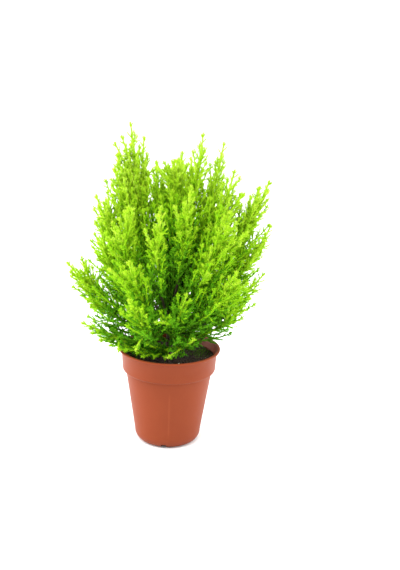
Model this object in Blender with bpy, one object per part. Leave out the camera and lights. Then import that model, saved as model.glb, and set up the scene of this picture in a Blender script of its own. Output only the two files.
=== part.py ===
# A young lemon cypress in a plastic nursery pot, at its real size, in metres with +Z up.
# The origin is the middle of the pot's flat underside, and the crown's front faces -Y.
# Bearings are degrees anticlockwise from +X, seen from above, so the front is at -90.

import math
import random

import bmesh
import bpy
import numpy as np
from mathutils import Vector

MM = 0.001
CLEARANCE = 0.3 * MM

# Pot
POT_HEIGHT = 115 * MM
RIM_RADIUS = 60 * MM
LIP_THICKNESS = 2 * MM
LIP_INNER_RADIUS = 56.4 * MM
BAND_TOP_RADIUS = 56.8 * MM
BAND_FOOT_RADIUS = 55 * MM
BAND_HEIGHT = 24 * MM
SHOULDER_HEIGHT = 3.4 * MM
BODY_TOP_RADIUS = 51 * MM
BODY_FOOT_RADIUS = 37 * MM
CORNER_REACH = 9 * MM
CORNER_HEIGHT = 13 * MM
CORNER_STEPS = 3
WALL = 1.6 * MM
FLOOR = 2 * MM
ROUND_SEGMENTS = 32

# Drain slots, cut through the pot's lower corner
SLOT_COUNT = 4
SLOT_BEARING = -96.5
SLOT_WIDTH = 6.5 * MM
SLOT_START = 25 * MM
SLOT_END = 44 * MM
SLOT_HEIGHT = 5 * MM

# Soil
SOIL_TOP = 103 * MM
SOIL_RIPPLE = 1.1 * MM
SOIL_RINGS = 3

# Trunk
TRUNK_TOP = 240 * MM
TRUNK_RADIUS = 3.5 * MM
TRUNK_TIP_RADIUS = 1.6 * MM
FLARE = 2.4 * MM
FLARE_FADE = 5 * MM
TRUNK_SIDES = 8
TRUNK_STEPS = 12
TRUNK_LEAN = 3 * MM
TRUNK_SWAY = 1.6 * MM

# Limbs: bare bough first, then the stem of the mass
LIMB_RADIUS = 1.9 * MM
LIMB_TIP_RADIUS = 0.5 * MM
FORK_RADIUS = 1.2 * MM
LIMB_OUT_SHARE = 0.60
LIMB_UP_SHARE = 0.28
BOUGH_SIDES = 6
STEM_SIDES = 3
LIMB_STEPS = 7
FORK_STEPS = 4
FORK_LEAVING = 0.38
SAMPLE_STEP = 4 * MM

# Sprays of needles, each a toothed blade
SPRAY_SPACING = 24 * MM
SPACING_DOUBLES_IN = 100 * MM
FIRST_SPRAY = 14 * MM
SPRAY_SHORTEST = 6 * MM
SPRAY_GROWTH = 0.66
SPRAY_LONGEST = 54 * MM
SPRAY_OPENING = 33
SPRAY_TURN = 137.5
TIP_BLADE = 30 * MM
TIP_BLADE_WIDTH = 0.14
BLADE_WIDTH = 0.40
BLADE_THICKNESS = 1.1 * MM
BLADE_WAIST = 1.5 * MM
SHORTENED = (1.0, 0.86, 0.74, 0.62, 0.52)
SIDES_TRIED = 9
SPACE_MARGIN = 0.9 * MM
LIMB_MARGIN = 0.9 * MM
TOUCH = 0.0006 * MM
JOIN_ATTEMPTS = 6

# Each mass: its name, the height where its limb leaves the trunk, the bare share of that limb,
# and its leading shoots. Each shoot is the bearing, reach and height of its tip, then how far it
# bows sideways on the way. A mass with no bare share springs from the trunk itself.
FRONT_AND_SIDES = [
    ("left_leader", 176, 0.30, [(180, 50, 380, 0), (164, 36, 363, 0)]),
    ("right_leader", 190, 0.26, [(0, 32, 370, 0), (52, 30, 338, 0)]),
    ("right_second", 172, 0.28, [(14, 58, 358, 0), (38, 62, 322, 0)]),
    ("upper_left", 160, 0.30, [(186, 64, 346, 0), (197, 70, 331, 0)]),
    ("upper_right", 162, 0.30, [(-8, 69, 331, 0), (-14, 82, 307, 0)]),
    ("left_shoulder", 150, 0.34, [(179, 88, 296, 0), (168, 80, 262, 0)]),
    ("right_outer", 146, 0.34, [(2, 109, 317, 0), (12, 96, 288, 0)]),
    ("front_left_leader", 152, 0.26, [(-100, 76, 302, -14), (-118, 66, 272, 0)]),
    ("front_right_leader", 164, 0.26, [(-69, 53, 320, 0), (-88, 44, 296, 0)]),
    ("front_left_upper", 143, 0.28, [(-149, 78, 275, 0), (-132, 72, 296, 0)]),
    ("front_right_upper", 150, 0.0, [(-38, 82, 292, 0), (-24, 92, 266, 0)]),
    ("right_middle", 131, 0.30, [(0, 113, 266, 0), (-9, 99, 236, 0)]),
    ("left_middle", 136, 0.30, [(181, 85, 241, 0), (-166, 84, 262, 0)]),
    ("left_outer", 131, 0.30, [(180, 121, 216, 0), (-171, 104, 227, 0)]),
    ("front_left_middle", 132, 0.0, [(-124, 84, 238, 0), (-143, 88, 224, 0)]),
    ("front_right_middle", 138, 0.0, [(-50, 68, 253, 8), (-59, 78, 226, 0)]),
    ("right_front_middle", 127, 0.0, [(-38, 92, 226, 0), (-24, 96, 208, 0)]),
    ("right_low", 125, 0.30, [(0, 108, 209, 0), (8, 95, 174, 0)]),
    ("left_low", 124, 0.0, [(180, 108, 190, 0), (-170, 98, 176, 0)]),
    ("left_front_low", 116, 0.0, [(-176, 104, 145, 0), (-148, 68, 121, 0)]),
    ("right_front_low", 118, 0.0, [(-14, 88, 171, 0), (-36, 80, 182, 0)]),
    ("front_left_low", 123, 0.0, [(-120, 92, 197, 0), (-122, 72, 132, 0)]),
    ("front_low", 119, 0.0, [(-73, 60, 199, -6), (-103, 73, 169, 0)]),
    ("front_fringe", 114, 0.0, [(-61, 57, 143, 0), (-92, 51, 120, 0)]),
]
CENTRE_TIPS = [(-90, 3, 340, 0), (64, 24, 329, 0), (135, 28, 326, 0)]

# The back of the crown, in tiers of evenly spread masses. Each tier is its name, the number of
# masses, the first and last bearing, the height where the limbs leave the trunk, their bare share,
# and the reach and height of the tips.
BACK_TIERS = [
    ("back_top", 2, 78, 122, 180, 0.28, 42, 331),
    ("back_upper", 3, 48, 140, 154, 0.30, 84, 302),
    ("back_middle", 4, 26, 156, 138, 0.0, 106, 246),
    ("back_low", 3, 36, 144, 119, 0.0, 98, 182),
]
BACK_SPREAD = 7
BACK_STAGGER = 6
BACK_SEED = 11


def polar(bearing, reach, height):
    angle = math.radians(bearing)
    return Vector((reach * math.cos(angle), reach * math.sin(angle), height))


def make_material(name, color, roughness):
    material = bpy.data.materials.new(name)
    material.use_nodes = True
    surface = material.node_tree.nodes["Principled BSDF"]
    surface.inputs["Base Color"].default_value = (*color, 1)
    surface.inputs["Roughness"].default_value = roughness
    return material


def make_object(name, points, faces, material, smooth=False):
    mesh = bpy.data.meshes.new(name)
    mesh.from_pydata([tuple(point) for point in points], [], faces)
    mesh.validate()
    edit = bmesh.new()
    edit.from_mesh(mesh)
    bmesh.ops.recalc_face_normals(edit, faces=edit.faces)
    edit.to_mesh(mesh)
    edit.free()
    if smooth:
        mesh.shade_smooth()
        mesh.set_sharp_from_angle(angle=math.radians(35))
    item = bpy.data.objects.new(name, mesh)
    item.data.materials.append(material)
    bpy.context.collection.objects.link(item)
    return item


def lathe(name, profile, material, lift=None):
    # The profile starts and ends on the axis, and holds (radius, height) pairs.
    points = []
    faces = []
    rings = []
    for radius, height in profile:
        if radius < 0.01 * MM:
            rings.append([len(points)] * ROUND_SEGMENTS)
            points.append(Vector((0, 0, height)))
            continue
        ring = []
        for step in range(ROUND_SEGMENTS):
            point = polar(360 * step / ROUND_SEGMENTS, radius, height)
            if lift:
                point.z += lift(point)
            ring.append(len(points))
            points.append(point)
        rings.append(ring)
    for low, high in zip(rings, rings[1:]):
        for step in range(ROUND_SEGMENTS):
            after = (step + 1) % ROUND_SEGMENTS
            corners = [low[step], low[after], high[after], high[step]]
            face = list(dict.fromkeys(corners))
            if len(face) > 2:
                faces.append(face)
    return make_object(name, points, faces, material, smooth=True)


def body_radius(height):
    share = height / (POT_HEIGHT - BAND_HEIGHT - SHOULDER_HEIGHT)
    return BODY_FOOT_RADIUS + share * (BODY_TOP_RADIUS - BODY_FOOT_RADIUS)


def corner_profile(inset, floor):
    # A rounded corner from the flat underside up to the body's straight taper.
    flat = BODY_FOOT_RADIUS - CORNER_REACH
    top = CORNER_HEIGHT
    wide = body_radius(top) - inset
    points = []
    for step in range(CORNER_STEPS + 1):
        angle = math.radians(90 * step / CORNER_STEPS)
        radius = flat + (wide - flat) * math.sin(angle)
        points.append((radius, floor + (top - floor) * (1 - math.cos(angle))))
    return points


def band_radius(height):
    share = (height - (POT_HEIGHT - BAND_HEIGHT)) / BAND_HEIGHT
    return BAND_FOOT_RADIUS + share * (BAND_TOP_RADIUS - BAND_FOOT_RADIUS)


def inner_wall(top):
    band_foot = POT_HEIGHT - BAND_HEIGHT
    points = corner_profile(WALL, FLOOR)
    points.append((BODY_TOP_RADIUS - WALL, band_foot - SHOULDER_HEIGHT))
    points.append((BAND_FOOT_RADIUS - WALL, band_foot + 1 * MM))
    points.append((band_radius(top) - WALL, top))
    return points


def make_pot(material):
    band_foot = POT_HEIGHT - BAND_HEIGHT
    lip_foot = POT_HEIGHT - LIP_THICKNESS
    outer = [(0, 0)] + corner_profile(0, 0)
    outer.append((BODY_TOP_RADIUS, band_foot - SHOULDER_HEIGHT))
    outer.append((BODY_TOP_RADIUS + 2.6 * MM, band_foot - 2.2 * MM))
    outer.append((BAND_FOOT_RADIUS, band_foot + 0.4 * MM))
    outer.append((BAND_TOP_RADIUS, lip_foot - 0.4 * MM))
    outer.append((RIM_RADIUS - 0.6 * MM, lip_foot))
    outer.append((RIM_RADIUS, lip_foot + 0.5 * MM))
    outer.append((RIM_RADIUS, POT_HEIGHT - 0.5 * MM))
    outer.append((RIM_RADIUS - 0.5 * MM, POT_HEIGHT))
    outer.append((LIP_INNER_RADIUS, POT_HEIGHT))
    inner = inner_wall(POT_HEIGHT - 2.5 * MM)
    inner.reverse()
    pot = lathe("pot", outer + inner + [(0, FLOOR)], material)
    points = []
    faces = []
    for index in range(SLOT_COUNT):
        bearing = SLOT_BEARING + 360 * index / SLOT_COUNT
        along = polar(bearing, 1, 0)
        across = polar(bearing + 90, SLOT_WIDTH / 2, 0)
        base = len(points)
        for height in (-2 * MM, SLOT_HEIGHT):
            for reach, side in ((SLOT_START, -1), (SLOT_END, -1), (SLOT_END, 1), (SLOT_START, 1)):
                points.append(along * reach + across * side + Vector((0, 0, height)))
        faces.append([base, base + 3, base + 2, base + 1])
        faces.append([base + 4, base + 5, base + 6, base + 7])
        for side in range(4):
            after = (side + 1) % 4
            faces.append([base + side, base + after, base + 4 + after, base + 4 + side])
    cutter = make_object("drain_slots", points, faces, material)
    cutter.hide_render = True
    cutter.display_type = "WIRE"
    cut = pot.modifiers.new("Drain slots", "BOOLEAN")
    cut.operation = "DIFFERENCE"
    cut.solver = "EXACT"
    cut.object = cutter
    return pot


def soil_lift(point):
    # Low, uneven crumbs that die out at the wall and at the trunk.
    radius = math.hypot(point.x, point.y)
    if point.z < SOIL_TOP - 0.5 * MM or radius > band_radius(SOIL_TOP) - 3 * MM or radius < 12 * MM:
        return 0
    bearing = math.atan2(point.y, point.x)
    return SOIL_RIPPLE * math.sin(5 * bearing + radius / (6 * MM)) * math.sin(radius / (9 * MM))


def make_soil(material):
    wall = [(radius - CLEARANCE, height) for radius, height in inner_wall(SOIL_TOP)]
    floor = FLOOR + CLEARANCE
    profile = [(0, floor), (wall[0][0] - 1 * MM, floor)]
    for radius, height in wall[1:]:
        profile.append((radius, max(height, floor + 0.2 * MM)))
    edge = wall[-1][0]
    for ring in range(SOIL_RINGS, 0, -1):
        profile.append((11 * MM + (edge - 15 * MM) * (ring - 1) / (SOIL_RINGS - 1), SOIL_TOP))
    profile.append((0, SOIL_TOP))
    return lathe("soil", profile, material, soil_lift)


def trunk_centre(height):
    share = (height - SOIL_TOP) / (TRUNK_TOP - SOIL_TOP)
    sway = TRUNK_SWAY * math.sin(2 * math.pi * share)
    return Vector((TRUNK_LEAN * share - sway, 0.6 * sway, height))


def trunk_radius(height):
    share = (height - SOIL_TOP) / (TRUNK_TOP - SOIL_TOP)
    straight = TRUNK_RADIUS + share * (TRUNK_TIP_RADIUS - TRUNK_RADIUS)
    return straight + FLARE * math.exp(-(height - SOIL_TOP) / FLARE_FADE)


def frames_along(points):
    # A direction and two crosswise directions at each point, turning as little as possible.
    frames = []
    side = Vector((0, 0, 0))
    for index, point in enumerate(points):
        before = points[max(index - 1, 0)]
        after = points[min(index + 1, len(points) - 1)]
        along = (after - before).normalized()
        side = side - along * side.dot(along)
        if side.length < 1e-6:
            side = along.orthogonal()
        side.normalize()
        frames.append((along, side.copy(), along.cross(side)))
    return frames


def tube(points, radii, sides):
    corners = []
    faces = []
    for point, radius, (_, side, other) in zip(points, radii, frames_along(points)):
        for step in range(sides):
            angle = 2 * math.pi * step / sides
            around = math.cos(angle) * side + math.sin(angle) * other
            corners.append(point + around * float(radius))
    for ring in range(len(points) - 1):
        for step in range(sides):
            after = (step + 1) % sides
            low = ring * sides
            faces.append([low + step, low + after, low + sides + after, low + sides + step])
    last = (len(points) - 1) * sides
    faces.append(list(range(sides))[::-1])
    faces.append([last + step for step in range(sides)])
    return corners, faces


def make_trunk(material):
    heights = [SOIL_TOP + CLEARANCE + 3 * MM * step for step in range(4)]
    first = heights[-1]
    for step in range(1, TRUNK_STEPS + 1):
        heights.append(first + (TRUNK_TOP - first) * step / TRUNK_STEPS)
    points = [trunk_centre(height) for height in heights]
    radii = [trunk_radius(height) for height in heights]
    corners, faces = tube(points, radii, TRUNK_SIDES)
    for index in range(TRUNK_SIDES):
        corners[index].z = heights[0]
    return make_object("trunk", corners, faces, material, smooth=True)


def curve_points(start, middle, end, steps):
    points = []
    for step in range(steps + 1):
        share = step / steps
        points.append(
            start * (1 - share) ** 2 + middle * 2 * share * (1 - share) + end * share**2
        )
    return points


def limb_line(foot_height, tip):
    bearing, reach, height, bow = tip
    end = polar(bearing, reach * MM, height * MM)
    start = trunk_centre(foot_height * MM)
    flat = Vector((end.x - start.x, end.y - start.y, 0))
    across = Vector((-flat.y, flat.x, 0)).normalized()
    rise = Vector((0, 0, end.z - start.z))
    middle = start + flat * LIMB_OUT_SHARE + rise * LIMB_UP_SHARE + across * bow * MM
    return curve_points(start, middle, end, LIMB_STEPS)


def fork_line(line, tip):
    # A second shoot leaves the first at its third or fourth bend, whichever suits its height.
    bearing, reach, height, _ = tip
    end = polar(bearing, reach * MM, height * MM)
    root = 4 if end.z - line[4].z > 0.55 * (line[-1].z - line[4].z) else 3
    along = (line[root + 1] - line[root - 1]).normalized()
    middle = line[root] + along * (end - line[root]).length * FORK_LEAVING
    return curve_points(line[root], middle, end, FORK_STEPS)


def line_length(points):
    return sum((b - a).length for a, b in zip(points, points[1:]))


def point_on(points, mark):
    # The point at a distance along a line, and the line's direction there.
    for a, b in zip(points, points[1:]):
        length = (b - a).length
        if mark <= length or b is points[-1]:
            return a.lerp(b, mark / length), (b - a).normalized()
        mark -= length


def part_of_line(points, start, end):
    # The stretch of a line between two distances along it, with the distance of each point.
    found = [(start, point_on(points, start)[0])]
    mark = 0
    for a, b in zip(points, points[1:]):
        mark += (b - a).length
        if start + 1 * MM < mark < end - 1 * MM:
            found.append((mark, b))
    found.append((end, point_on(points, end)[0]))
    return found


class Limb:
    def __init__(self, name, foot_height, bare, tips):
        self.name = name
        self.bare = bare
        self.foot_height = foot_height * MM
        if foot_height:
            main = limb_line(foot_height, tips[0])
        else:
            main = centre_line(tips[0])
        self.lines = [main] + [fork_line(main, tip) for tip in tips[1:]]
        self.length = line_length(main)
        self.foot = self.first_clear_of_trunk()
        self.bough_end = self.foot + bare * self.length
        self.stem_start = self.bough_end + (CLEARANCE if bare else 0)

    def first_clear_of_trunk(self):
        if not self.foot_height:
            return CLEARANCE
        mark = 0
        while True:
            point, along = point_on(self.lines[0], mark)
            centre = trunk_centre(point.z)
            away = math.hypot(point.x - centre.x, point.y - centre.y)
            if away > trunk_radius(point.z - LIMB_RADIUS) + CLEARANCE + LIMB_RADIUS * along.z:
                return mark
            mark += 0.2 * MM

    def radius_at(self, distance):
        share = min(distance / self.length, 1)
        return LIMB_RADIUS + (LIMB_TIP_RADIUS - LIMB_RADIUS) * share**0.7


def centre_line(tip):
    bearing, reach, height, _ = tip
    start = trunk_centre(TRUNK_TOP)
    end = polar(bearing, reach * MM, height * MM)
    middle = start + Vector((0, 0, (end.z - start.z) * 0.5))
    return curve_points(start, middle, end, LIMB_STEPS)


def back_masses():
    rng = random.Random(BACK_SEED)
    found = []
    for name, count, first, last, foot, bare, reach, height in BACK_TIERS:
        for index in range(count):
            bearing = first + (last - first) * index / (count - 1)
            bearing += rng.uniform(-3, 3)
            tip = (bearing, reach + rng.uniform(-6, 6), height + rng.uniform(-12, 12), 0)
            turn = BACK_SPREAD if index % 2 else -BACK_SPREAD
            level = foot + (BACK_STAGGER if index % 2 else 0)
            second = (bearing + turn, tip[1] * rng.uniform(0.85, 0.95), tip[2] - rng.uniform(18, 30), 0)
            found.append((f"{name}_{index + 1}", level, bare, [tip, second]))
    return found


class Space:
    # The room that a mass keeps to: nearer to its own shoots than to any other limb's. Within a
    # mass, each shoot's sprays stay nearer to it than to its neighbours too.
    def __init__(self, limbs):
        self.lines = []
        for index, limb in enumerate(limbs):
            for number, line in enumerate(limb.lines):
                total = line_length(line)
                count = math.ceil(total / SAMPLE_STEP)
                points = [point_on(line, total * step / count)[0] for step in range(count + 1)]
                self.lines.append((index, number, np.array(points)))

    def holds(self, points, index, number):
        points = np.array(points)
        if any(self.blocked(point) for point in points):
            return False
        away = {}
        for mass, shoot, samples in self.lines:
            gaps = ((points[:, None, :] - samples[None, :, :]) ** 2).sum(axis=2)
            away[mass, shoot] = np.sqrt(gaps.min(axis=1))
        own = away[index, number]
        for (mass, shoot), gaps in away.items():
            if mass == index and shoot != number and (gaps < own).any():
                return False
            if mass != index and (gaps < own + SPACE_MARGIN).any():
                return False
            if mass != index and (gaps < LIMB_RADIUS + LIMB_MARGIN).any():
                return False
        return True

    def blocked(self, point):
        radius = math.hypot(point[0], point[1])
        over_pot = point[2] > POT_HEIGHT + 1 * MM
        over_soil = radius < LIP_INNER_RADIUS - 4 * MM and point[2] > SOIL_TOP + SOIL_RIPPLE + 1 * MM
        if not (over_pot or over_soil):
            return True
        if point[2] > TRUNK_TOP + 1 * MM:
            return False
        centre = trunk_centre(min(point[2], TRUNK_TOP))
        away = math.hypot(point[0] - centre.x, point[1] - centre.y)
        return away < trunk_radius(min(point[2], TRUNK_TOP)) + LIMB_MARGIN


def blade(root, along, across, length, width):
    # A flat toothed spray: a ridge down the middle on both faces, and teeth that point forward.
    across = (across - along * across.dot(along)).normalized()
    normal = along.cross(across)
    waist = min(BLADE_WAIST, 0.12 * length) / 2
    wide = width * length
    right = [(0.10, waist), (0.52, wide), (0.46, waist), (0.78, 0.62 * wide)]
    left = [(0.10, waist), (0.42, 0.92 * wide), (0.37, waist), (0.68, 0.70 * wide)]
    rim = [root] + [root + along * share * length + across * side for share, side in right]
    rim.append(root + along * length)
    rim += [root + along * share * length - across * side for share, side in reversed(left)]
    half = normal * BLADE_THICKNESS / 2
    ridge = [root + along * share * length for share in (0.24, 0.56)]
    points = rim + [point + half for point in ridge] + [point - half for point in ridge]
    nearest = [0, 0, 0, 1, 1, 1, 1, 1, 0, 0]
    faces = []
    count = len(rim)
    for side in (0, 1):
        base = count + 2 * side
        for index in range(count):
            after = (index + 1) % count
            a = base + nearest[index]
            b = base + nearest[after]
            faces.append([index, after, a])
            if a != b:
                faces.append([after, b, a])
    return rim, points, faces


def spray_length(distance_from_tip):
    return min(SPRAY_SHORTEST + SPRAY_GROWTH * distance_from_tip, SPRAY_LONGEST)


def sprays_of(line, start, rng):
    # Where each spray leaves a shoot, from the tip down, with its bearing round the shoot, its
    # opening angle, its roll and its length.
    total = line_length(line)
    found = []
    turn = rng.uniform(0, 360)
    distance = FIRST_SPRAY
    while distance < total - start:
        root, along = point_on(line, total - distance)
        opening = SPRAY_OPENING + rng.uniform(-5, 5)
        roll = rng.uniform(-35, 35)
        found.append((root, along, turn, opening, roll, spray_length(distance)))
        spacing = SPRAY_SPACING * (1 + distance / SPACING_DOUBLES_IN)
        distance += spacing * rng.uniform(0.85, 1.15)
        turn += SPRAY_TURN
    return found


def widest_blade(spray, space, index, number):
    # The spray turns to the side of its shoot that leaves it the most room.
    root, along, turn, opening, roll, length = spray
    side = along.orthogonal().normalized()
    other = along.cross(side)
    lean = math.radians(opening)
    tilt = math.radians(roll)
    for share in SHORTENED:
        for step in range(SIDES_TRIED):
            angle = math.radians(turn + 360 * step / SIDES_TRIED)
            outward = side * math.cos(angle) + other * math.sin(angle)
            heading = along * math.cos(lean) + outward * math.sin(lean)
            flat = along.cross(outward)
            across = flat * math.cos(tilt) + flat.cross(heading) * math.sin(tilt)
            rim, corners, faces = blade(root, heading, across, length * share, BLADE_WIDTH)
            if space.holds(rim[1:], index, number):
                return corners, faces
    return None


def drop_scraps(mesh):
    # Keeps the body with the most points.
    edit = bmesh.new()
    edit.from_mesh(mesh)
    waiting = set(edit.verts)
    bodies = []
    while waiting:
        body = [waiting.pop()]
        for vertex in body:
            for edge in vertex.link_edges:
                other = edge.other_vert(vertex)
                if other in waiting:
                    waiting.remove(other)
                    body.append(other)
        bodies.append(body)
    bodies.sort(key=len)
    for body in bodies[:-1]:
        bmesh.ops.delete(edit, geom=body, context="VERTS")
    edit.to_mesh(mesh)
    edit.free()


def is_sound(mesh):
    # Closed, and nowhere touching itself along an edge.
    edit = bmesh.new()
    edit.from_mesh(mesh)
    bmesh.ops.remove_doubles(edit, verts=edit.verts, dist=TOUCH)
    sound = all(len(edge.link_faces) == 2 for edge in edit.edges)
    edit.free()
    return sound


def mass_pieces(index, limb, space, rng):
    # The stems, then the blade at each tip and the sprays along each shoot.
    pieces = []
    for number, line in enumerate(limb.lines):
        total = line_length(line)
        start = limb.stem_start if number == 0 else 0
        stretch = part_of_line(line, start, total - 0.6 * TIP_BLADE)
        widest = limb.radius_at(limb.stem_start) if number == 0 else FORK_RADIUS
        radii = [widest + (LIMB_TIP_RADIUS - widest) * mark / total for mark, _ in stretch]
        pieces.append(tube([point for _, point in stretch], radii, STEM_SIDES))
        root = point_on(line, total - TIP_BLADE)[0]
        along = (line[-1] - root).normalized()
        turn = math.radians(rng.uniform(0, 180))
        side = along.orthogonal().normalized()
        across = side * math.cos(turn) + along.cross(side) * math.sin(turn)
        pieces.append(blade(root, along, across, TIP_BLADE, TIP_BLADE_WIDTH)[1:])
        for spray in sprays_of(line, start + 3 * MM, rng):
            found = widest_blade(spray, space, index, number)
            if found:
                pieces.append(found)
    return pieces


def join_pieces(name, pieces, material):
    stem = make_object(name, *pieces[0], material)
    rest = bpy.data.collections.new("Sprays")
    for corners, faces in pieces[1:]:
        twig = make_object("twig", corners, faces, material)
        bpy.context.collection.objects.unlink(twig)
        rest.objects.link(twig)
    join = stem.modifiers.new("Sprays", "BOOLEAN")
    join.operation = "UNION"
    join.operand_type = "COLLECTION"
    join.collection = rest
    join.solver = "EXACT"
    graph = bpy.context.evaluated_depsgraph_get()
    joined = bpy.data.meshes.new_from_object(stem.evaluated_get(graph))
    stem.modifiers.clear()
    drop_scraps(joined)
    stem.data = joined
    for twig in list(rest.objects):
        bpy.data.objects.remove(twig)
    bpy.data.collections.remove(rest)
    return stem


def make_mass(index, limb, space, material):
    for attempt in range(JOIN_ATTEMPTS):
        rng = random.Random(f"{limb.name} sprays {attempt}")
        mass = join_pieces(limb.name, mass_pieces(index, limb, space, rng), material)
        if is_sound(mass.data):
            return mass
        bpy.data.objects.remove(mass)
    raise ValueError(f"{limb.name} doesn't join into one sound body")


def make_bough(limb, material):
    stretch = part_of_line(limb.lines[0], limb.foot, limb.bough_end)
    radii = [limb.radius_at(mark) for mark, _ in stretch]
    corners, faces = tube([point for _, point in stretch], radii, BOUGH_SIDES)
    return make_object(f"{limb.name}_bough", corners, faces, material, smooth=True)


for item in list(bpy.data.objects):
    bpy.data.objects.remove(item)

terracotta = make_material("pot_plastic", (0.52, 0.105, 0.038), 0.45)
earth = make_material("soil", (0.028, 0.018, 0.010), 0.95)
bark = make_material("bark", (0.075, 0.038, 0.020), 0.85)
foliage = make_material("foliage", (0.22, 0.52, 0.025), 0.55)

make_pot(terracotta)
make_soil(earth)
make_trunk(bark)
limbs = [Limb(*entry) for entry in FRONT_AND_SIDES + back_masses()]
limbs.append(Limb("centre", 0, 0, CENTRE_TIPS))
room = Space(limbs)
for number, limb in enumerate(limbs):
    if limb.bare:
        make_bough(limb, bark)
    make_mass(number, limb, room, foliage)
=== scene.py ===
# The looks of a young lemon cypress in its nursery pot: fine twigs and needles on every limb, bark
# relief on the trunk and boughs, a moulded pot, and potting mix with moss and grit.
# Lengths are in metres, named ones in millimetres times mm. Bearings are degrees anticlockwise
# from +X, seen from above, so the front of the crown is at -90.

import math
import random

import bmesh
import bpy
import numpy as np
from mathutils import Matrix, Quaternion, Vector, noise


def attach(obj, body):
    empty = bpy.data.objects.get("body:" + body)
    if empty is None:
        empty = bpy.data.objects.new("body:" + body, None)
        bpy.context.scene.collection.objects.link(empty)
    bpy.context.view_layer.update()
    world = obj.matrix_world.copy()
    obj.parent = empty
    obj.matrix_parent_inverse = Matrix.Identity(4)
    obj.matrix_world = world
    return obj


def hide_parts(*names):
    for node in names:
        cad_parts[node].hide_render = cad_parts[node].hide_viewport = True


mm = 0.001
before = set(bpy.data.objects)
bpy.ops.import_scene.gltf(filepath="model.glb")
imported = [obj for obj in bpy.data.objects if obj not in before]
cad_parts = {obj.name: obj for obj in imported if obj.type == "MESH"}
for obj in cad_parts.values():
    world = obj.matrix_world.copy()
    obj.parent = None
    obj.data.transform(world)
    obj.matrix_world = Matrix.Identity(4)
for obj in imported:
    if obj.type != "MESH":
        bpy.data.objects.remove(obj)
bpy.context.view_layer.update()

# The limbs, as the solids have them: name, height where the limb leaves the trunk, bare share, and
# the tips of its leading shoots as bearing, reach, height and sideways bow.
frontAndSides = [
    ("left_leader", 176, 0.30, [(180, 50, 380, 0), (164, 36, 363, 0)]),
    ("right_leader", 190, 0.26, [(0, 32, 370, 0), (52, 30, 338, 0)]),
    ("right_second", 172, 0.28, [(14, 58, 358, 0), (38, 62, 322, 0)]),
    ("upper_left", 160, 0.30, [(186, 64, 346, 0), (197, 70, 331, 0)]),
    ("upper_right", 162, 0.30, [(-8, 69, 331, 0), (-14, 82, 307, 0)]),
    ("left_shoulder", 150, 0.34, [(179, 88, 296, 0), (168, 80, 262, 0)]),
    ("right_outer", 146, 0.34, [(2, 109, 317, 0), (12, 96, 288, 0)]),
    ("front_left_leader", 152, 0.26, [(-100, 76, 302, -14), (-118, 66, 272, 0)]),
    ("front_right_leader", 164, 0.26, [(-69, 53, 320, 0), (-88, 44, 296, 0)]),
    ("front_left_upper", 143, 0.28, [(-149, 78, 275, 0), (-132, 72, 296, 0)]),
    ("front_right_upper", 150, 0.0, [(-38, 82, 292, 0), (-24, 92, 266, 0)]),
    ("right_middle", 131, 0.30, [(0, 113, 266, 0), (-9, 99, 236, 0)]),
    ("left_middle", 136, 0.30, [(181, 85, 241, 0), (-166, 84, 262, 0)]),
    ("left_outer", 131, 0.30, [(180, 121, 216, 0), (-171, 104, 227, 0)]),
    ("front_left_middle", 132, 0.0, [(-124, 84, 238, 0), (-143, 88, 224, 0)]),
    ("front_right_middle", 138, 0.0, [(-50, 68, 253, 8), (-59, 78, 226, 0)]),
    ("right_front_middle", 127, 0.0, [(-38, 92, 226, 0), (-24, 96, 208, 0)]),
    ("right_low", 125, 0.30, [(0, 108, 209, 0), (8, 95, 174, 0)]),
    ("left_low", 124, 0.0, [(180, 108, 190, 0), (-170, 98, 176, 0)]),
    ("left_front_low", 116, 0.0, [(-176, 104, 145, 0), (-148, 68, 121, 0)]),
    ("right_front_low", 118, 0.0, [(-14, 88, 171, 0), (-36, 80, 182, 0)]),
    ("front_left_low", 123, 0.0, [(-120, 92, 197, 0), (-122, 72, 132, 0)]),
    ("front_low", 119, 0.0, [(-73, 60, 199, -6), (-103, 73, 169, 0)]),
    ("front_fringe", 114, 0.0, [(-61, 57, 143, 0), (-92, 51, 120, 0)]),
]
centreTips = [(-90, 3, 340, 0), (64, 24, 329, 0), (135, 28, 326, 0)]
backTiers = [
    ("back_top", 2, 78, 122, 180, 0.28, 42, 331),
    ("back_upper", 3, 48, 140, 154, 0.30, 84, 302),
    ("back_middle", 4, 26, 156, 138, 0.0, 106, 246),
    ("back_low", 3, 36, 144, 119, 0.0, 98, 182),
]
backSpread = 7
backStagger = 6
backSeed = 11
limbOutShare = 0.60
limbUpShare = 0.28
limbSteps = 7
forkLeaving = 0.38
forkRise = 0.55

trunk = {
    "foot": 103 * mm,
    "top": 240 * mm,
    "radius": 3.5 * mm,
    "tipRadius": 1.6 * mm,
    "flare": 2.4 * mm,
    "flareFade": 5 * mm,
    "lean": 3 * mm,
    "sway": 1.6 * mm,
    "swayDepth": 0.6,
}


def polar(bearing, reach, height):
    angle = math.radians(bearing)
    return Vector((reach * math.cos(angle), reach * math.sin(angle), height))


def trunkCentre(height):
    share = (height - trunk["foot"]) / (trunk["top"] - trunk["foot"])
    sway = trunk["sway"] * math.sin(2 * math.pi * share)
    return Vector((trunk["lean"] * share - sway, trunk["swayDepth"] * sway, height))


def trunkRadius(height):
    share = (height - trunk["foot"]) / (trunk["top"] - trunk["foot"])
    straight = trunk["radius"] + share * (trunk["tipRadius"] - trunk["radius"])
    return straight + trunk["flare"] * math.exp(-(height - trunk["foot"]) / trunk["flareFade"])


def bend(start, middle, end, steps):
    shares = [step / steps for step in range(steps + 1)]
    return [start * (1 - s) ** 2 + middle * 2 * s * (1 - s) + end * s * s for s in shares]


def placeOf(tip):
    bearing, reach, height, _ = tip
    return polar(bearing, reach * mm, height * mm)


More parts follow.
